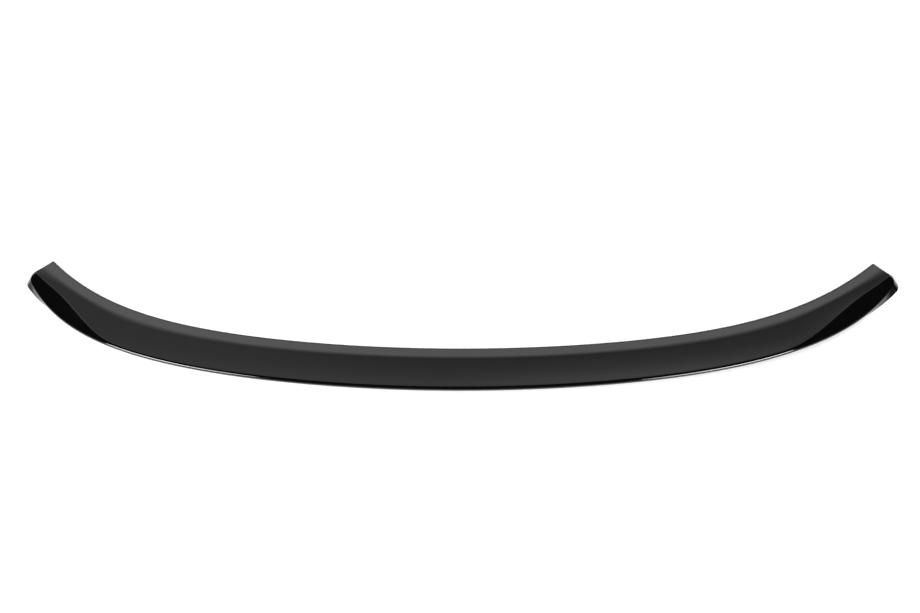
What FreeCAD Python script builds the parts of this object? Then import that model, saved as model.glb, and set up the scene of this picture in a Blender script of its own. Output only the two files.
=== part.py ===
"""Lip spoiler for a car's boot lid: one hollow moulding, crescent shaped in plan.

A thin front edge runs along a bow. At every station of the bow the section has a flat front land, a hollow
bend, a ramp that climbs to a rounded trailing edge, and a rear face that returns to the foot. In the middle
the rear face is undercut, and towards the ends it turns upright and then flares. The ends are cut square to
the bow, with a rounded rear corner. The underside is open, with cross ribs inside and a flat rim around the
opening for the bonding tape.

Frame: +X along the span, +Y forwards, +Z up, origin under the middle of the overall box.
"""
import FreeCAD, Part
import math
import os

import Sketcher
from FreeCAD import Placement, Rotation, Vector

DIMENSIONS = {
    # bow of the front edge, seen from above
    "front_half": 568.0,
    "bow_depth": 141.0,
    "late_bow": 0.46,
    # section
    "front_edge": 2.4,
    "land_width": 11.0,
    "land_slope": 6.0,
    "bend_width": 13.0,
    "ramp_hollow": 2.0,
    "ramp_reach": 75.0,
    "reach_taper": 11.0,
    "reach_tuck": 20.0,
    "ramp_height": 26.0,
    "height_drop": 11.0,
    "lip_radius": 3.0,
    "foot_width": 57.0,
    "end_radius": 12.0,
    # inside
    "roof_wall": 3.4,
    "rear_wall": 4.5,
    "mouth_set_back": 2.0,
    "rib_thickness": 2.2,
    "rib_recess": 1.5,
    "rib_pitch": 95.0,
    # depth of the waste that the loft carries below the rim
    "trim_depth": 3.0,
}

# Stations along half of the span, as shares of front_half, and around an end's rear corner, in degrees.
OUTER_STATIONS = (0.0, 0.2, 0.4, 0.55, 0.68, 0.78, 0.86, 0.92, 0.96)
CAVITY_STATIONS = (0.0, 0.2, 0.4, 0.55, 0.68, 0.78, 0.86, 0.91, 0.95)
CORNER_STATIONS = (0, 25, 50, 70, 90)
LAST_RIB = 0.9

# Chords that stand for each round stretch of a section, so that the loft stays straight across.
CHORDS = {"bend": 4, "ramp": 4, "lip": 8}

doc = FreeCAD.newDocument("lip_spoiler")


def make_sheet():
    sheet = doc.addObject("Spreadsheet::Sheet", "dims")
    for row, (name, size) in enumerate(DIMENSIONS.items(), start=1):
        sheet.set(f"A{row}", name)
        sheet.set(f"B{row}", str(size))
        sheet.setAlias(f"B{row}", name)
    doc.recompute()
    return sheet


dims = make_sheet()


def value(expression):
    return float(dims.evalExpression(expression))


def bow_slope(k):
    """Expression for the slope of the front edge in plan at a share k of the half span."""
    even = f"2 * (1 - dims.late_bow) * {k}"
    late = f"6 * dims.late_bow * {k ** 5}"
    return f"(dims.bow_depth / dims.front_half * ({even} + {late}))"


END_RUN = f"(dims.front_half * sqrt(1 + {bow_slope(1)}^2))"


def corner_shares():
    """Shares of the stations around the rear corner, from where it starts to turn to the end."""
    radius_share = value(f"dims.end_radius / {END_RUN}")
    return [1 - radius_share * (1 - math.sin(math.radians(angle))) for angle in CORNER_STATIONS]


def station(share):
    """Expressions for the place and the section corners at a share (-1 to 1) of the half span."""
    k = abs(share)
    side = math.copysign(1, share)
    land_top = "(dims.front_edge + dims.land_width * tan(dims.land_slope * 1 deg))"
    reach = f"(dims.ramp_reach - dims.reach_taper * {k ** 2} - dims.reach_tuck * {k ** 12})"
    height = f"(dims.ramp_height - dims.height_drop * {k ** 2})"
    climb = f"(({height} - {land_top}) / ({reach} - dims.land_width))"
    ramp_start = f"(atan{climb} - dims.ramp_hollow * 1 deg)"
    bend_rise = f"dims.bend_width * tan((dims.land_slope * 1 deg + {ramp_start}) / 2)"

    in_corner = f"max(0; dims.end_radius - {END_RUN} * {1 - k})"
    corner = f"(dims.end_radius - sqrt(dims.end_radius^2 - {in_corner}^2))"
    return {
        "along": f"dims.front_half * {share}",
        "bow": f"dims.bow_depth * ((1 - dims.late_bow) * {k ** 2} + dims.late_bow * {k ** 6})",
        "turn": f"{side} * atan{bow_slope(k)}",
        "edge": (None, "dims.front_edge"),
        "land": ("dims.land_width", land_top),
        "bend": ("dims.land_width + dims.bend_width", f"{land_top} + {bend_rise}"),
        "ramp": (f"{reach} - {corner}", f"{height} - {corner} * {climb}"),
        "foot": (f"dims.foot_width - {corner}", None),
    }


def new_section_sketch(body, at, name):
    """An empty sketch in the upright plane square to the bow, with its x axis pointing rearwards."""
    sketch = body.newObject("Sketcher::SketchObject", name)
    front_plane = next(f for f in body.Origin.OriginFeatures if f.Role == "XZ_Plane")
    sketch.AttachmentSupport = [(front_plane, "")]
    sketch.MapMode = "FlatFace"
    sketch.AttachmentOffset = Placement(Vector(), Rotation(Vector(0, 1, 0), -90))
    sketch.setExpression("AttachmentOffset.Base.x", at["along"])
    sketch.setExpression("AttachmentOffset.Base.z", f"-({at['bow']})")
    sketch.setExpression("AttachmentOffset.Rotation.Angle", f"{at['turn']} - 90 deg")
    return sketch


def bind(sketch, constraint, name, expression):
    index = sketch.addConstraint(constraint)
    sketch.renameConstraint(index, name)
    sketch.setExpression(f"Constraints.{name}", expression)


def bind_end(sketch, geometry, name, place):
    """Hold the end of a line or arc at a place measured from the sketch's origin."""
    for axis, expression in zip("XY", place):
        if expression:
            distance = Sketcher.Constraint(f"Distance{axis}", -1, 1, geometry, 2, value(expression))
            bind(sketch, distance, f"{name}_{axis.lower()}", expression)


def turned_left(way):
    return Vector(-way.y, way.x, 0)


def tangent_arc(first, way, last):
    """Centre, radius and final direction of the left-hand arc that leaves first along way and ends at last."""
    chord = last - first
    radius = chord.dot(chord) / (2 * chord.dot(turned_left(way)))
    centre = first + turned_left(way) * radius
    return centre, radius, turned_left((last - centre) / radius)


def add_arc(sketch, centre, radius, first, last):
    """A construction arc, anticlockwise about centre from first to last."""
    circle = Part.Circle(centre, Vector(0, 0, 1), radius)
    arc = Part.ArcOfCircle(circle, circle.parameter(first), circle.parameter(last))
    return sketch.addGeometry(arc, True)


def add_chords(sketch, arc, backwards, count, construction):
    """Equal chords along an arc of the sketch, from its start to its end or backwards."""
    curve = sketch.Geometry[arc]
    first, last = curve.FirstParameter, curve.LastParameter
    if backwards:
        first, last = last, first
    points = [curve.value(first + (last - first) * i / count) for i in range(count + 1)]
    lines = [Part.LineSegment(a, b) for a, b in zip(points, points[1:])]
    chords = list(sketch.addGeometry(lines, construction))
    for one, other in zip(chords, chords[1:]):
        sketch.addConstraint(Sketcher.Constraint("PointOnObject", one, 2, arc))
        sketch.addConstraint(Sketcher.Constraint("Equal", one, other))
    return chords


def draw_outer(sketch, at, construction=False):
    """The outer section: underside, front edge, land, bend, ramp, lip, rear face and waste below the rim."""
    p = {name: Vector(*[value(e) if e else 0 for e in at[name]], 0)
         for name in ("edge", "land", "bend", "ramp", "foot")}
    waste = Vector(0, -value("dims.trim_depth"), 0)
    land_way = (p["land"] - p["edge"]).normalize()
    bend_centre, bend_radius, bend_way = tangent_arc(p["land"], land_way, p["bend"])
    ramp_centre, ramp_radius, ramp_way = tangent_arc(p["bend"], bend_way, p["ramp"])
    lip_radius = value("dims.lip_radius")
    lip_centre = p["ramp"] - turned_left(ramp_way) * lip_radius
    to_foot = p["foot"] - lip_centre
    rear_length = math.sqrt(to_foot.Length ** 2 - lip_radius ** 2)
    rear_angle = math.atan2(to_foot.y, to_foot.x) - math.atan2(lip_radius, rear_length)
    rear_way = Vector(math.cos(rear_angle), math.sin(rear_angle), 0)
    rear_top = p["foot"] - rear_way * rear_length

    under, front, land, rear, skirt = sketch.addGeometry([
        Part.LineSegment(p["foot"] + waste, waste),
        Part.LineSegment(waste, p["edge"]),
        Part.LineSegment(p["edge"], p["land"]),
        Part.LineSegment(rear_top, p["foot"]),
        Part.LineSegment(p["foot"], p["foot"] + waste),
    ], construction)
    bend_arc = add_arc(sketch, bend_centre, bend_radius, p["land"], p["bend"])
    ramp_arc = add_arc(sketch, ramp_centre, ramp_radius, p["bend"], p["ramp"])
    lip_arc = add_arc(sketch, lip_centre, lip_radius, rear_top, p["ramp"])
    bend = add_chords(sketch, bend_arc, False, CHORDS["bend"], construction)
    ramp = add_chords(sketch, ramp_arc, False, CHORDS["ramp"], construction)
    lip = add_chords(sketch, lip_arc, True, CHORDS["lip"], construction)

    chain = [under, front, land, *bend, *ramp, *lip, rear, skirt, under]
    for one, other in zip(chain, chain[1:]):
        sketch.addConstraint(Sketcher.Constraint("Coincident", one, 2, other, 1))
    sketch.addConstraint([
        Sketcher.Constraint("Tangent", land, 2, bend_arc, 1),
        Sketcher.Constraint("Tangent", bend_arc, 2, ramp_arc, 1),
        Sketcher.Constraint("Tangent", ramp_arc, 2, lip_arc, 2),
        Sketcher.Constraint("Tangent", lip_arc, 1, rear, 1),
        Sketcher.Constraint("Coincident", bend[-1], 2, bend_arc, 2),
        Sketcher.Constraint("Coincident", ramp[-1], 2, ramp_arc, 2),
        Sketcher.Constraint("PointOnObject", front, 1, -2),
        Sketcher.Constraint("PointOnObject", rear, 2, -1),
        Sketcher.Constraint("Horizontal", under),
        Sketcher.Constraint("Vertical", front),
        Sketcher.Constraint("Vertical", skirt),
    ])
    bind_end(sketch, front, "edge", at["edge"])
    bind_end(sketch, land, "land", at["land"])
    bind_end(sketch, bend_arc, "bend", at["bend"])
    bind_end(sketch, ramp_arc, "ramp", at["ramp"])
    bind_end(sketch, rear, "foot", at["foot"])
    bind(sketch, Sketcher.Constraint("Radius", lip_arc, lip_radius), "lip_radius", "dims.lip_radius")
    depth = Sketcher.Constraint("DistanceY", skirt, 2, skirt, 1, -waste.y)
    bind(sketch, depth, "trim_depth", "dims.trim_depth")
    return p, ramp_arc, rear, rear_way


def draw_cavity(sketch, at):
    """The hollow under the ramp, set in from the outer section by the walls."""
    p, ramp_arc, rear, rear_way = draw_outer(sketch, at, construction=True)
    chord = sketch.addGeometry(Part.LineSegment(p["bend"], p["ramp"]), True)
    low = -value("dims.trim_depth")
    climb = (p["ramp"] - p["bend"]).normalize()
    roof_start = p["bend"] - turned_left(climb) * value("dims.roof_wall")
    back_foot = p["foot"] - turned_left(rear_way) * value("dims.rear_wall")
    mouth_front = "dims.land_width + dims.bend_width + dims.mouth_set_back"
    front_low = Vector(value(mouth_front), low, 0)
    front_top = roof_start + climb * ((front_low.x - roof_start.x) / climb.x)
    between = back_foot - roof_start
    along_roof = between.dot(turned_left(rear_way)) / climb.dot(turned_left(rear_way))
    back_top = roof_start + climb * along_roof
    back_low = back_foot + rear_way * ((low - back_foot.y) / rear_way.y)

    mouth, front, roof, back = sketch.addGeometry([
        Part.LineSegment(back_low, front_low),
        Part.LineSegment(front_low, front_top),
        Part.LineSegment(front_top, back_top),
        Part.LineSegment(back_top, back_low),
    ])
    sketch.addConstraint([
        Sketcher.Constraint("Coincident", chord, 1, ramp_arc, 1),
        Sketcher.Constraint("Coincident", chord, 2, ramp_arc, 2),
        Sketcher.Constraint("Coincident", mouth, 2, front, 1),
        Sketcher.Constraint("Coincident", front, 2, roof, 1),
        Sketcher.Constraint("Coincident", roof, 2, back, 1),
        Sketcher.Constraint("Coincident", back, 2, mouth, 1),
        Sketcher.Constraint("Horizontal", mouth),
        Sketcher.Constraint("Vertical", front),
        Sketcher.Constraint("Parallel", roof, chord),
        Sketcher.Constraint("Parallel", back, rear),
    ])
    bind(sketch, Sketcher.Constraint("DistanceY", front, 1, -1, 1, -low), "mouth_depth", "dims.trim_depth")
    bind(sketch, Sketcher.Constraint("DistanceX", -1, 1, front, 1, front_low.x), "mouth_front", mouth_front)
    roof_wall = Sketcher.Constraint("Distance", roof, 1, chord, value("dims.roof_wall"))
    rear_wall = Sketcher.Constraint("Distance", back, 1, rear, value("dims.rear_wall"))
    bind(sketch, roof_wall, "roof_wall", "dims.roof_wall")
    bind(sketch, rear_wall, "rear_wall", "dims.rear_wall")


def add_sections(body, shares, draw):
    """One sketch at each station, from the left end to the right end."""
    sketches = []
    both_sides = [-share for share in reversed(shares) if share > 0] + list(shares)
    for number, share in enumerate(both_sides):
        at = station(share)
        sketch = new_section_sketch(body, at, f"{body.Label}_section_{number}")
        draw(sketch, at)
        sketches.append(sketch)
    doc.recompute()
    return sketches


def add_loft(body, label, sketches):
    loft = body.newObject("PartDesign::AdditiveLoft", label)
    loft.Profile = sketches[0]
    loft.Sections = sketches[1:]
    doc.recompute()


def trim_below_rim(body):
    """Cut the waste off, so that the rim is one flat plane."""
    waste = body.newObject("PartDesign::SubtractiveBox", "rim_trim")
    waste.setExpression("Length", "4 * dims.front_half")
    waste.setExpression("Width", "4 * dims.front_half")
    waste.setExpression("Height", "2 * dims.trim_depth")
    waste.setExpression("Placement.Base.x", "-2 * dims.front_half")
    waste.setExpression("Placement.Base.y", "-2 * dims.front_half")
    waste.setExpression("Placement.Base.z", "-2 * dims.trim_depth")
    doc.recompute()


def make_outer_form():
    """The outside: one loft along the bow, and a short one around the rear corner of each end."""
    body = doc.addObject("PartDesign::Body", "outer_form")
    sketches = add_sections(body, [*OUTER_STATIONS, *corner_shares()], draw_outer)
    turns = len(CORNER_STATIONS)
    add_loft(body, "bow", sketches[turns - 1:1 - turns])
    add_loft(body, "left_corner", sketches[:turns])
    add_loft(body, "right_corner", sketches[-turns:])
    trim_below_rim(body)
    return body


def make_cavity():
    body = doc.addObject("PartDesign::Body", "cavity")
    add_loft(body, "hollow", add_sections(body, CAVITY_STATIONS, draw_cavity))
    return body


def make_ribs():
    """Upright plates across the cavity at an even pitch, lifted clear of the bonding rim."""
    ribs = []
    count = int(LAST_RIB * value("dims.front_half / dims.rib_pitch") + 0.5)
    for number in range(count):
        at = station((number + 0.5) * value("dims.rib_pitch / dims.front_half"))
        rib = doc.addObject("Part::Box", f"rib_{number}")
        rib.setExpression("Length", "dims.ramp_reach")
        rib.setExpression("Width", "dims.rib_thickness")
        rib.setExpression("Height", "dims.ramp_height")
        rib.Placement = Placement(Vector(), Rotation(Vector(0, 0, 1), -90))
        rib.setExpression("Placement.Base.x", at["along"])
        rib.setExpression("Placement.Base.y", at["bow"])
        rib.setExpression("Placement.Base.z", "dims.rib_recess")
        rib.setExpression("Placement.Rotation.Angle", f"{at['turn']} - 90 deg")
        ribs.append(rib)
    right = doc.addObject("Part::MultiFuse", "ribs_right")
    right.Shapes = ribs
    left = doc.addObject("Part::Mirroring", "ribs_left")
    left.Source = right
    left.Normal = Vector(1, 0, 0)
    plates = doc.addObject("Part::Fuse", "ribs")
    plates.Base = right
    plates.Tool = left
    return plates


def cut(label, base, tool):
    result = doc.addObject("Part::Cut", label)
    result.Base = base
    result.Tool = tool
    doc.recompute()
    return result


def check_document():
    for item in doc.Objects:
        if "Invalid" in item.State or "Error" in item.State:
            raise RuntimeError(f"{item.Label}: {item.State}")


cells = cut("cavity_cells", make_cavity(), make_ribs())
spoiler = cut("lip_spoiler", make_outer_form(), cells)
check_document()
middle = spoiler.Shape.optimalBoundingBox(False).Center.y
spoiler.Placement = Placement(Vector(0, -middle, 0), Rotation())
doc.recompute()
check_document()

shape = spoiler.Shape
if shape.isNull() or not shape.isValid() or len(shape.Solids) != 1:
    raise RuntimeError("the moulding is not one valid solid")

os.makedirs("parts", exist_ok=True)
shape.exportStep(f"parts/{spoiler.Label}.step")
box = shape.optimalBoundingBox(False)
print(f"{spoiler.Label}: {box.XLength:.1f} x {box.YLength:.1f} x {box.ZLength:.1f} mm, "
      f"front edge at y = {-middle:.2f}, {shape.Volume / 1000:.1f} cm3")
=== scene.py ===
"""Looks of the boot-lid lip spoiler: a gloss black hollow moulding on a white studio floor."""
import math

import bmesh
import bpy
from mathutils import Matrix, Vector


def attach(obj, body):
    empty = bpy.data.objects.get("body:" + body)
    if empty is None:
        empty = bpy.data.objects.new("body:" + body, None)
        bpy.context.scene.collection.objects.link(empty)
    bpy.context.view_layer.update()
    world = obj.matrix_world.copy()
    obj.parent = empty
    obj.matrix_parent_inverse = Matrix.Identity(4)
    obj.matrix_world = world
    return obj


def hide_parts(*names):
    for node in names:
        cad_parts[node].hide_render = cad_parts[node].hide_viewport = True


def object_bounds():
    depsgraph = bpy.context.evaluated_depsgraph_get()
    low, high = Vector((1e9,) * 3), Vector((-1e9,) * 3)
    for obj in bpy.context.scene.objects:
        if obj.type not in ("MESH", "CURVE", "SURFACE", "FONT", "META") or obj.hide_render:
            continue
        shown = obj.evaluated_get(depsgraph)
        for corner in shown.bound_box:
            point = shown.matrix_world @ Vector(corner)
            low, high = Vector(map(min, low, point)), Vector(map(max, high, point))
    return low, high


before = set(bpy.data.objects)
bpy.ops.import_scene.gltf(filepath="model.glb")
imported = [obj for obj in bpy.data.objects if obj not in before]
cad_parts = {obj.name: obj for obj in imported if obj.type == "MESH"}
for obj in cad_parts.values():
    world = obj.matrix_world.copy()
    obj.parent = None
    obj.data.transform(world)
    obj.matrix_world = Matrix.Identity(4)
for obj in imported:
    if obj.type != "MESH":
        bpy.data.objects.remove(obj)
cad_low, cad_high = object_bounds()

MM = 0.001

# The moulding, in millimetres, with the sizes of the CAD part except for its tighter rear corners.
FRONT_HALF = 568.0
BOW_DEPTH = 141.0
LATE_BOW = 0.46
FRONT_EDGE = 2.4
LAND_WIDTH = 11.0
LAND_SLOPE = math.radians(6.0)
BEND_WIDTH = 13.0
RAMP_HOLLOW = math.radians(2.0)
RAMP_REACH = 75.0
REACH_TAPER = 11.0
REACH_TUCK = 20.0
RAMP_HEIGHT = 26.0
HEIGHT_DROP = 11.0
LIP_RADIUS = 3.0
FOOT_WIDTH = 57.0
END_RADIUS = 9.5
ROOF_WALL = 3.4
REAR_WALL = 4.5
MOUTH_SET_BACK = 2.0
RIB_THICKNESS = 2.2
RIB_RECESS = 1.5
RIB_PITCH = 95.0
RIBS_A_SIDE = 5
CAVITY_END = 0.95

# The shoulder behind the ramp's crest: a narrow strip along the span that widens into a facet at the ends.
SHOULDER_START = 0.745
SHOULDER_FULL = 0.955
SHOULDER_SLOPE = math.radians(-3.0)
CREST_RADIUS = 3.0
CREST_SET_BACK = 2.6
CREST_DROP = 0.6
END_CREST = 30.0
CREST_CORNER = 0.25
END_FALL = 7.6
END_BEND = 8.0
END_TUCK = 4.0
END_FOOT = 7.0

# How fast the trailing edge and the foot draw in near the ends, as powers of the share of the half span.
TUCK_POWER = 12
FOOT_POWER = 24

# Rounding that the mould leaves on the front edge, around the cut ends and in the hollow.
NOSE_RADIUS = 0.8
END_EDGE = 0.6
CAVITY_FILLET = 1.2
SMOOTH_ANGLE = math.radians(25)

# Points on each stretch of a section, and stations along the bow.
NOSE_STEPS = 5
LAND_STEPS = 4
BEND_STEPS = 12
RAMP_STEPS = 14
CREST_STEPS = 5
SHOULDER_STEPS = 5
LIP_STEPS = 28
REAR_STEPS = 6
SPAN_STEPS = 120
CORNER_STEPS = 9
END_EDGE_STEPS = 4
CAVITY_STEPS = 60
FILLET_STEPS = 3

# The studio, in millimetres: a floor, a card before the part, two lamps on the rear side and a dark room.
FLOOR_SIZE = 60000
FLOOR_GREY = 0.8
FLOOR_ROUGHNESS = 0.9
FLOOR_GLOW = 0.34
CARD_DISTANCE = 1500
CARD_WIDTH = 4000
CARD_HEIGHT = 1720
CARD_COLUMNS = (0.30, 0.45, 0.585)
CARD_GREYS = (
    [(0, 0.3), (0.35, 0.26), (0.6, 0.26), (0.7, 0.45), (0.8, 0.85), (0.87, 1.0), (1, 1.05)],
    [(0, 0.26), (0.16, 0.25), (0.35, 0.175), (0.6, 0.19), (0.7, 0.4), (0.8, 0.8), (0.87, 0.9), (1, 0.95)],
    [(0, 0.42), (0.2, 0.4), (0.29, 0.28), (0.41, 0.2), (0.6, 0.17), (0.7, 0.4), (0.8, 0.85), (0.87, 1.0),
     (1, 1.05)],
)
LAMP_STRENGTH = 2.2
LAMP_WIDTH = math.radians(27)
LAMP_HEIGHT_ANGLE = math.radians(45)
LAMP_AZIMUTHS = (math.radians(-56), math.radians(35.5))
FRONT_ROOM_GREYS = [(0, 0.7), (0.06, 0.6), (0.2, 0.012), (1, 0.01)]
REAR_ROOM_GREYS = [(0, 0.7), (0.06, 0.6), (0.2, 0.1), (0.6, 0.08), (0.8, 0.012), (1, 0.01)]
REAR_TO_FRONT = [(0, 0), (0.1, 1)]

# The finishes: greys along a noise, the range that is stretched, and the depth of grain in millimetres.
DUST_GREYS = [(0.7, 0.0019), (0.8, 0.02)]
PLASTIC_GREYS = [(0.3, 0.011), (0.7, 0.019)]
NOISE_LOW = 0.3
NOISE_HIGH = 0.7
GRAIN_DEPTH = 0.2

# Camera, as fitted to the photo's outline.
CAMERA_TARGET = Vector((15.9, 36.5, 0)) * MM
CAMERA_DISTANCE = 2324.3 * MM
CAMERA_YAW = math.radians(11.63)
CAMERA_HEIGHT_ANGLE = math.radians(55.52)
CAMERA_ROLL = math.radians(-9.29)
CAMERA_VIEW_ANGLE = math.radians(30)


def bow_slope(k):
    """Slope of the front edge in plan at a share k of the half span."""
    return BOW_DEPTH / FRONT_HALF * (2 * (1 - LATE_BOW) * k + 6 * LATE_BOW * k ** 5)


END_RUN = FRONT_HALF * math.hypot(1, bow_slope(1))


def mixed(first, last, share):
    return first + (last - first) * share


def smooth_step(share):
    share = min(1, max(0, share))
    return share * share * (3 - 2 * share)


def way_at(slope):
    return Vector((math.cos(slope), math.sin(slope)))


LAND_WAY = way_at(LAND_SLOPE)
SHOULDER_WAY = way_at(SHOULDER_SLOPE)


def turned_left(way):
    return Vector((-way.y, way.x))


def tangent_arc(first, way, last):
    """Centre and final direction of the left-hand arc that leaves first along way and ends at last."""
    chord = last - first
    radius = chord.length_squared / (2 * chord.dot(turned_left(way)))
    centre = first + turned_left(way) * radius
    return centre, turned_left((last - centre) / radius)


def along_line(first, last, steps):
    return [first.lerp(last, i / steps) for i in range(1, steps + 1)]


def along_arc(centre, first, last, steps):
    """Points after first on the shorter arc about centre from first to last."""
    start = first - centre
    sweep = start.angle_signed(last - centre)
    return [centre + Matrix.Rotation(-sweep * i / steps, 2) @ start for i in range(1, steps + 1)]


def section(k):
    """Corners, arc centres and rear direction of the section at a share k of the half span."""
    shoulder = smooth_step((k - SHOULDER_START) / (SHOULDER_FULL - SHOULDER_START))
    reach = RAMP_REACH - REACH_TAPER * k ** 2 - REACH_TUCK * k ** TUCK_POWER
    height = RAMP_HEIGHT - HEIGHT_DROP * k ** 2
    in_corner = max(0, END_RADIUS - END_RUN * (1 - k))
    corner = END_RADIUS - math.sqrt(END_RADIUS ** 2 - in_corner ** 2)

    land = Vector((LAND_WIDTH, FRONT_EDGE + LAND_WIDTH * math.tan(LAND_SLOPE)))
    crest_reach = mixed(reach - CREST_SET_BACK, END_CREST, shoulder)
    crest_height = height - CREST_DROP - END_FALL * shoulder
    climb = (crest_height - land.y) / (crest_reach - LAND_WIDTH)
    bend_mean = (LAND_SLOPE + math.atan(climb) - RAMP_HOLLOW * (1 - shoulder)) / 2
    bend = land + mixed(BEND_WIDTH, END_BEND, shoulder) * Vector((1, math.tan(bend_mean)))
    ramp = Vector((crest_reach, crest_height)) - CREST_CORNER * corner * Vector((1, climb))
    foot = Vector((FOOT_WIDTH - END_FOOT * k ** FOOT_POWER - corner, 0))

    bend_centre, bend_way = tangent_arc(land, LAND_WAY, bend)
    ramp_centre, ramp_way = tangent_arc(bend, bend_way, ramp)
    crest_centre = ramp - turned_left(ramp_way) * CREST_RADIUS
    crest = crest_centre + turned_left(SHOULDER_WAY) * CREST_RADIUS
    lip_reach = reach - END_TUCK * shoulder - corner
    lip = crest + SHOULDER_WAY * ((lip_reach - crest.x) / SHOULDER_WAY.x)
    lip_centre = lip - turned_left(SHOULDER_WAY) * LIP_RADIUS
    to_foot = foot - lip_centre
    rear_length = math.sqrt(to_foot.length_squared - LIP_RADIUS ** 2)
    rear_angle = math.atan2(to_foot.y, to_foot.x) - math.atan2(LIP_RADIUS, rear_length)
    rear_way = way_at(rear_angle)
    return {
        "land": land, "bend": bend, "ramp": ramp, "crest": crest, "lip": lip, "foot": foot,
        "bend_centre": bend_centre, "ramp_centre": ramp_centre, "crest_centre": crest_centre,
        "lip_centre": lip_centre, "rear_top": foot - rear_way * rear_length, "rear_way": rear_way,
    }


def outer_outline(k):
    """The outer section as points from the front corner over the top and back along the underside."""
    at = section(k)
    edge = Vector((0, FRONT_EDGE))
    tangent = NOSE_RADIUS * math.tan((math.pi / 2 - LAND_SLOPE) / 2)
    nose_low = edge - Vector((0, tangent))
    nose_top = edge + LAND_WAY * tangent
    nose_centre = nose_low + Vector((NOSE_RADIUS, 0))

    points = [Vector((0, 0)), nose_low]
    points += along_arc(nose_centre, nose_low, nose_top, NOSE_STEPS)
    points += along_line(nose_top, at["land"], LAND_STEPS)
    points += along_arc(at["bend_centre"], at["land"], at["bend"], BEND_STEPS)
    points += along_arc(at["ramp_centre"], at["bend"], at["ramp"], RAMP_STEPS)
    points += along_arc(at["crest_centre"], at["ramp"], at["crest"], CREST_STEPS)
    points += along_line(at["crest"], at["lip"], SHOULDER_STEPS)
    points += along_arc(at["lip_centre"], at["lip"], at["rear_top"], LIP_STEPS)
    points += along_line(at["rear_top"], at["foot"], REAR_STEPS)
    return points


def cavity_outline(k):
    """The hollow under the ramp as four points, from below the rim at the front."""
    at = section(k)
    climb = (at["lip"] - at["bend"]).normalized()
    roof = at["bend"] - turned_left(climb) * ROOF_WALL
    back = at["foot"] - turned_left(at["rear_way"]) * REAR_WALL
    mouth = LAND_WIDTH + BEND_WIDTH + MOUTH_SET_BACK
    front_top = roof + climb * ((mouth - roof.x) / climb.x)
    across = turned_left(at["rear_way"])
    back_top = roof + climb * ((back - roof).dot(across) / climb.dot(across))
    back_low = back - at["rear_way"] * ((back.y + FRONT_EDGE) / at["rear_way"].y)
    return [Vector((mouth, -FRONT_EDGE)), front_top, back_top, back_low]


def drawn_in(points, depth):
    """A closed outline moved inwards by depth, square to itself."""
    moved = []
    for before, point, after in zip(points[-1:] + points[:-1], points, points[1:] + points[:1]):
        one = turned_left((point - before).normalized())
        other = turned_left((after - point).normalized())
        moved.append(point - (one + other) * (depth / (1 + one.dot(other))))
    return moved


FRONT_Y = cad_low.y / MM + max(point.x for point in outer_outline(0))


def on_bow(share, points):
    """Section points at a share (-1 to 1) of the half span, placed in the part's frame in metres."""
    k = abs(share)
    turn = math.copysign(math.atan(bow_slope(k)), share)
    bow = BOW_DEPTH * ((1 - LATE_BOW) * k ** 2 + LATE_BOW * k ** 6)
    start = Vector((FRONT_HALF * share, FRONT_Y + bow, 0))
    rearwards = Vector((math.sin(turn), -math.cos(turn), 0))
    return [(start + rearwards * point.x + Vector((0, 0, point.y))) * MM for point in points]


def both_sides(half):
    return [(-share, points) for share, points in reversed(half) if share > 0] + half


def outer_rings():
    """Rings of the outer skin from end to end, closer around the rear corners and rounded at the cut ends."""
    corner_start = 1 - END_RADIUS / END_RUN
    shares = [corner_start * i / SPAN_STEPS for i in range(SPAN_STEPS)]
    last_turn = math.asin(1 - END_EDGE / END_RADIUS)
    turns = [last_turn * i / CORNER_STEPS for i in range(CORNER_STEPS)]
    shares += [1 - END_RADIUS * (1 - math.sin(turn)) / END_RUN for turn in turns]
    half = [(share, outer_outline(share)) for share in shares]
    for i in range(END_EDGE_STEPS + 1):
        turn = math.pi / 2 * i / END_EDGE_STEPS
        share = 1 - END_EDGE * (1 - math.sin(turn)) / END_RUN
        half.append((share, drawn_in(outer_outline(share), END_EDGE * (1 - math.cos(turn)))))
    return [on_bow(share, points) for share, points in both_sides(half)]


def cavity_rings():
    shares = [CAVITY_END * i / CAVITY_STEPS for i in range(CAVITY_STEPS + 1)]
    half = [(share, cavity_outline(share)) for share in shares]
    return [on_bow(share, points) for share, points in both_sides(half)]


def deselect_all():
    bpy.ops.object.select_all(action="DESELECT")


def select_only(pieces):
    deselect_all()
    for piece in pieces:
        piece.select_set(True)
    bpy.context.view_layer.objects.active = pieces[0]


def sweep(name, rings):
    """A closed skin: a ring of points extruded from ring to ring and filled at both ends."""
    deselect_all()
    bpy.ops.mesh.primitive_circle_add(vertices=len(rings[0]), radius=MM, fill_type="NOTHING")
    piece = bpy.context.object
    piece.name = name
    bpy.ops.object.mode_set(mode="EDIT")
    mesh = bmesh.from_edit_mesh(piece.data)
    order = mesh.verts.layers.int.new("order")
    for number, vertex in enumerate(mesh.verts):
        vertex[order] = number
        vertex.co = rings[0][number]
    bmesh.update_edit_mesh(piece.data)
    bpy.ops.mesh.edge_face_add()
    for ring in rings[1:]:
        bpy.ops.mesh.extrude_edges_indiv()
        mesh = bmesh.from_edit_mesh(piece.data)
        order = mesh.verts.layers.int["order"]
        for vertex in mesh.verts:
            if vertex.select:
                vertex.co = ring[vertex[order]]
        bmesh.update_edit_mesh(piece.data)
    bpy.ops.mesh.edge_face_add()
    bpy.ops.mesh.select_all(action="SELECT")
    bpy.ops.mesh.normals_make_consistent(inside=False)
    bpy.ops.object.mode_set(mode="OBJECT")
    bpy.ops.object.transform_apply(location=True, rotation=True, scale=True)
    piece.data.attributes.remove(piece.data.attributes["order"])
    return piece


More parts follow.
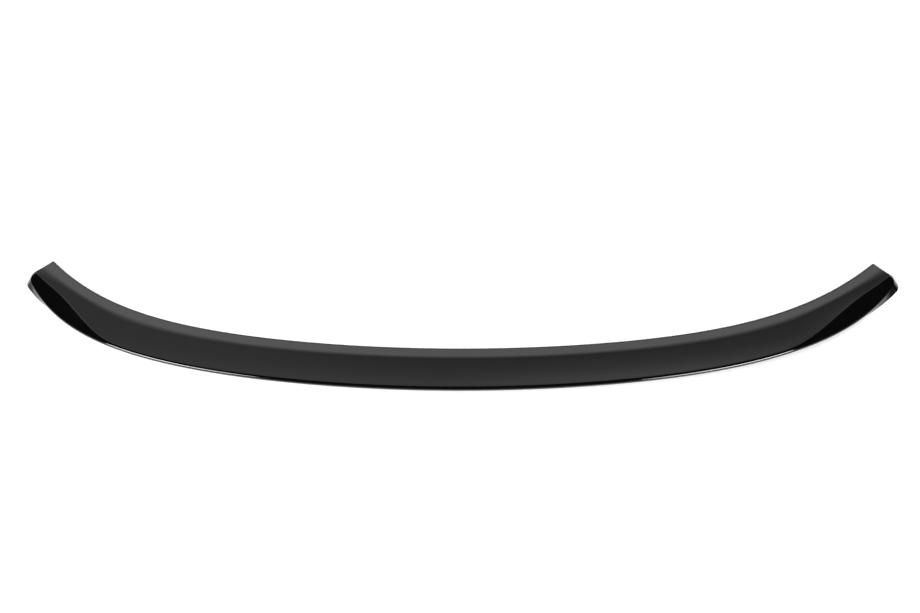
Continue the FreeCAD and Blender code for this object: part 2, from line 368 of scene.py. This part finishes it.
def apply_modifier(piece, kind, **settings):
    select_only([piece])
    modifier = piece.modifiers.new(kind.lower(), kind)
    for name, setting in settings.items():
        setattr(modifier, name, setting)
    bpy.ops.object.modifier_apply(modifier=modifier.name)


def cut_away(piece, tool):
    apply_modifier(piece, "BOOLEAN", object=tool, operation="DIFFERENCE", solver="EXACT",
                   material_mode="TRANSFER")
    bpy.data.objects.remove(tool)


def make_ribs():
    """Plates across the hollow, square to the bow, lifted clear of the bonding rim."""
    plates = []
    for number in range(-RIBS_A_SIDE, RIBS_A_SIDE):
        share = (number + 0.5) * RIB_PITCH / FRONT_HALF
        near, far = on_bow(share, [Vector((0, RIB_RECESS)), Vector((RAMP_REACH, RIB_RECESS + RAMP_HEIGHT))])
        deselect_all()
        bpy.ops.mesh.primitive_cube_add(size=1, location=(near + far) / 2)
        plate = bpy.context.object
        plate.scale = (RIB_THICKNESS * MM, RAMP_REACH * MM, RAMP_HEIGHT * MM)
        plate.rotation_euler.z = math.copysign(math.atan(bow_slope(abs(share))), share)
        bpy.ops.object.transform_apply(location=True, rotation=True, scale=True)
        plates.append(plate)
    select_only(plates)
    bpy.ops.object.join()
    return plates[0]


def make_shell(gloss, raw):
    """The moulding: the outer skin, hollowed from below between its ribs."""
    shell = sweep("gloss_black_shell", outer_rings())
    shell.data.materials.append(gloss)
    hollow = sweep("hollow", cavity_rings())
    apply_modifier(hollow, "BEVEL", width=CAVITY_FILLET * MM, segments=FILLET_STEPS, limit_method="ANGLE")
    hollow.data.materials.append(raw)
    ribs = make_ribs()
    ribs.data.materials.append(raw)
    cut_away(hollow, ribs)
    cut_away(shell, hollow)
    select_only([shell])
    bpy.ops.object.shade_smooth_by_angle(angle=SMOOTH_ANGLE)
    return shell


def new_material(name):
    material = bpy.data.materials.new(name)
    material.use_nodes = True
    return material, material.node_tree.nodes, material.node_tree.links


def grey_ramp(nodes, links, place, stops):
    """Greys at given places along a value, as a node output."""
    ramp = nodes.new("ShaderNodeValToRGB")
    while len(ramp.color_ramp.elements) < len(stops):
        ramp.color_ramp.elements.new(1)
    for element, (position, grey) in zip(ramp.color_ramp.elements, stops):
        element.position = position
        element.color = (grey, grey, grey, 1)
    links.new(place, ramp.inputs["Fac"])
    return ramp.outputs["Color"]


def noise_group(name, numbers, results):
    """A node group that begins with noise: its tree, the noise, its input sockets and its output sockets."""
    group = bpy.data.node_groups.new(name, "ShaderNodeTree")
    group.interface.new_socket("Vector", in_out="INPUT", socket_type="NodeSocketVector")
    for number in ("Scale", "Detail", *numbers):
        group.interface.new_socket(number, in_out="INPUT", socket_type="NodeSocketFloat")
    for result, kind in results.items():
        group.interface.new_socket(result, in_out="OUTPUT", socket_type=kind)
    given = group.nodes.new("NodeGroupInput").outputs
    texture = group.nodes.new("ShaderNodeTexNoise")
    for socket in ("Vector", "Scale", "Detail"):
        group.links.new(given[socket], texture.inputs[socket])
    return group, texture.outputs["Fac"], given, group.nodes.new("NodeGroupOutput").inputs


def clouds_group():
    """Noise, plain and stretched over a range of values."""
    kinds = {"Clouds": "NodeSocketFloat", "Value": "NodeSocketFloat"}
    group, clouds, given, results = noise_group("clouds", ("Low", "High"), kinds)
    stretch = group.nodes.new("ShaderNodeMapRange")
    stretch.inputs["From Min"].default_value = NOISE_LOW
    stretch.inputs["From Max"].default_value = NOISE_HIGH
    group.links.new(given["Low"], stretch.inputs["To Min"])
    group.links.new(given["High"], stretch.inputs["To Max"])
    group.links.new(clouds, stretch.inputs["Value"])
    group.links.new(clouds, results["Clouds"])
    group.links.new(stretch.outputs["Result"], results["Value"])
    return group


def grain_group():
    """Fine unevenness of a surface."""
    group, grain, given, results = noise_group("grain", ("Strength",), {"Normal": "NodeSocketVector"})
    bump = group.nodes.new("ShaderNodeBump")
    bump.inputs["Distance"].default_value = GRAIN_DEPTH * MM
    group.links.new(given["Strength"], bump.inputs["Strength"])
    group.links.new(grain, bump.inputs["Height"])
    group.links.new(bump.outputs["Normal"], results["Normal"])
    return group


def placed(nodes, links, group, place, **numbers):
    """A group placed in a material with its own values, as its outputs."""
    node = nodes.new("ShaderNodeGroup")
    node.node_tree = group
    links.new(place, node.inputs["Vector"])
    for name, number in numbers.items():
        node.inputs[name].default_value = number
    return node.outputs


def gloss_black_paint(clouds, grain):
    """Jet black paint under clear coat: faint orange peel, cloudy polish and a few specks of dust."""
    material, nodes, links = new_material("gloss_black_paint")
    shader = nodes["Principled BSDF"]
    shader.inputs["IOR"].default_value = 1.5
    shader.inputs["Coat Weight"].default_value = 1
    shader.inputs["Coat Roughness"].default_value = 0.02
    place = nodes.new("ShaderNodeTexCoord").outputs["Object"]
    dust = placed(nodes, links, clouds, place, Scale=1400, Detail=2)["Clouds"]
    links.new(grey_ramp(nodes, links, dust, DUST_GREYS), shader.inputs["Base Color"])
    polish = placed(nodes, links, clouds, place, Scale=9, Detail=3, Low=0.04, High=0.075)
    links.new(polish["Value"], shader.inputs["Roughness"])
    peel = placed(nodes, links, grain, place, Scale=420, Detail=1, Strength=0.03)
    links.new(peel["Normal"], shader.inputs["Normal"])
    return material


def raw_black_plastic(clouds, grain):
    """Unpainted moulded plastic of the underside, with the fine grain of the mould."""
    material, nodes, links = new_material("raw_black_plastic")
    shader = nodes["Principled BSDF"]
    place = nodes.new("ShaderNodeTexCoord").outputs["Object"]
    cloud = placed(nodes, links, clouds, place, Scale=30, Detail=4, Low=0.38, High=0.55)
    links.new(grey_ramp(nodes, links, cloud["Clouds"], PLASTIC_GREYS), shader.inputs["Base Color"])
    links.new(cloud["Value"], shader.inputs["Roughness"])
    mould = placed(nodes, links, grain, place, Scale=1600, Detail=3, Strength=0.25)
    links.new(mould["Normal"], shader.inputs["Normal"])
    return material


def white_floor():
    """A pale floor that is white under the lamps, open to a look from below."""
    material, nodes, links = new_material("white_floor")
    shader = nodes["Principled BSDF"]
    shader.inputs["Base Color"].default_value = (FLOOR_GREY, FLOOR_GREY, FLOOR_GREY, 1)
    shader.inputs["Roughness"].default_value = FLOOR_ROUGHNESS
    shader.inputs["Emission Color"].default_value = (1, 1, 1, 1)
    shader.inputs["Emission Strength"].default_value = FLOOR_GLOW
    geometry = nodes.new("ShaderNodeNewGeometry")
    clear = nodes.new("ShaderNodeBsdfTransparent")
    side = nodes.new("ShaderNodeMixShader")
    links.new(geometry.outputs["Backfacing"], side.inputs["Fac"])
    links.new(shader.outputs["BSDF"], side.inputs[1])
    links.new(clear.outputs["BSDF"], side.inputs[2])
    links.new(side.outputs["Shader"], nodes["Material Output"].inputs["Surface"])
    deselect_all()
    bpy.ops.mesh.primitive_plane_add(size=FLOOR_SIZE * MM)
    floor = bpy.context.object
    floor.name = "floor"
    floor.data.materials.append(material)


def blended(nodes, links, share, first, last):
    mix = nodes.new("ShaderNodeMix")
    mix.data_type = "RGBA"
    links.new(share, mix.inputs["Factor"])
    links.new(first, mix.inputs["A"])
    links.new(last, mix.inputs["B"])
    return mix.outputs["Result"]


def reflecting_card():
    """An upright glowing card on the part's front side, with greys by height in three columns."""
    material, nodes, links = new_material("reflecting_card")
    glow = nodes.new("ShaderNodeEmission")
    coordinates = nodes.new("ShaderNodeTexCoord")
    split = nodes.new("ShaderNodeSeparateXYZ")
    links.new(coordinates.outputs["Generated"], split.inputs["Vector"])
    greys = [grey_ramp(nodes, links, split.outputs["Z"], stops) for stops in CARD_GREYS]
    left, middle, right = CARD_COLUMNS
    to_middle = grey_ramp(nodes, links, split.outputs["X"], [(left, 0), (middle, 1)])
    to_right = grey_ramp(nodes, links, split.outputs["X"], [(middle, 0), (right, 1)])
    left_half = blended(nodes, links, to_middle, greys[0], greys[1])
    links.new(blended(nodes, links, to_right, left_half, greys[2]), glow.inputs["Color"])
    links.new(glow.outputs["Emission"], nodes["Material Output"].inputs["Surface"])
    deselect_all()
    bpy.ops.mesh.primitive_plane_add(size=1, rotation=(math.pi / 2, 0, 0))
    card = bpy.context.object
    card.name = "reflecting_card"
    card.location = Vector((0, CARD_DISTANCE, CARD_HEIGHT / 2)) * MM
    card.scale = (CARD_WIDTH * MM, CARD_HEIGHT * MM, 1)
    bpy.ops.object.transform_apply(location=True, rotation=True, scale=True)
    card.visible_camera = False
    card.visible_shadow = False
    card.data.materials.append(material)


def way_up(azimuth, height_angle):
    """The direction at an angle above the floor, turned by an azimuth from straight rearwards towards +X."""
    level = math.cos(height_angle)
    return Vector((math.sin(azimuth) * level, -math.cos(azimuth) * level, math.sin(height_angle)))


def studio_light():
    """The dark room, lighter low down and behind the part, with the card and the two lamps."""
    world = bpy.data.worlds.new("studio")
    bpy.context.scene.world = world
    world.use_nodes = True
    nodes, links = world.node_tree.nodes, world.node_tree.links
    split = nodes.new("ShaderNodeSeparateXYZ")
    links.new(nodes.new("ShaderNodeTexCoord").outputs["Generated"], split.inputs["Vector"])
    front = grey_ramp(nodes, links, split.outputs["Z"], FRONT_ROOM_GREYS)
    rear = grey_ramp(nodes, links, split.outputs["Z"], REAR_ROOM_GREYS)
    to_front = grey_ramp(nodes, links, split.outputs["Y"], REAR_TO_FRONT)
    links.new(blended(nodes, links, to_front, rear, front), nodes["Background"].inputs["Color"])
    reflecting_card()
    for azimuth in LAMP_AZIMUTHS:
        lamp = bpy.data.lights.new("key", "SUN")
        lamp.energy = LAMP_STRENGTH
        lamp.angle = LAMP_WIDTH
        key = bpy.data.objects.new("key", lamp)
        bpy.context.scene.collection.objects.link(key)
        key.rotation_mode = "QUATERNION"
        key.rotation_quaternion = way_up(azimuth, LAMP_HEIGHT_ANGLE).to_track_quat("Z", "Y")


def photo_camera():
    data = bpy.data.cameras.new("photo_camera")
    data.sensor_fit = "HORIZONTAL"
    data.angle = CAMERA_VIEW_ANGLE
    camera = bpy.data.objects.new("photo_camera", data)
    bpy.context.scene.collection.objects.link(camera)
    back = way_up(CAMERA_YAW, CAMERA_HEIGHT_ANGLE)
    level = back.to_track_quat("Z", "Y")
    camera.rotation_mode = "QUATERNION"
    camera.rotation_quaternion = level @ Matrix.Rotation(CAMERA_ROLL, 4, "Z").to_quaternion()
    camera.location = CAMERA_TARGET + back * CAMERA_DISTANCE
    bpy.context.scene.camera = camera


clouds = clouds_group()
grain = grain_group()
shell = make_shell(gloss_black_paint(clouds, grain), raw_black_plastic(clouds, grain))
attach(shell, "root")
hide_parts("lip_spoiler")
white_floor()
studio_light()
photo_camera()
bpy.context.scene.view_settings.view_transform = "Standard"
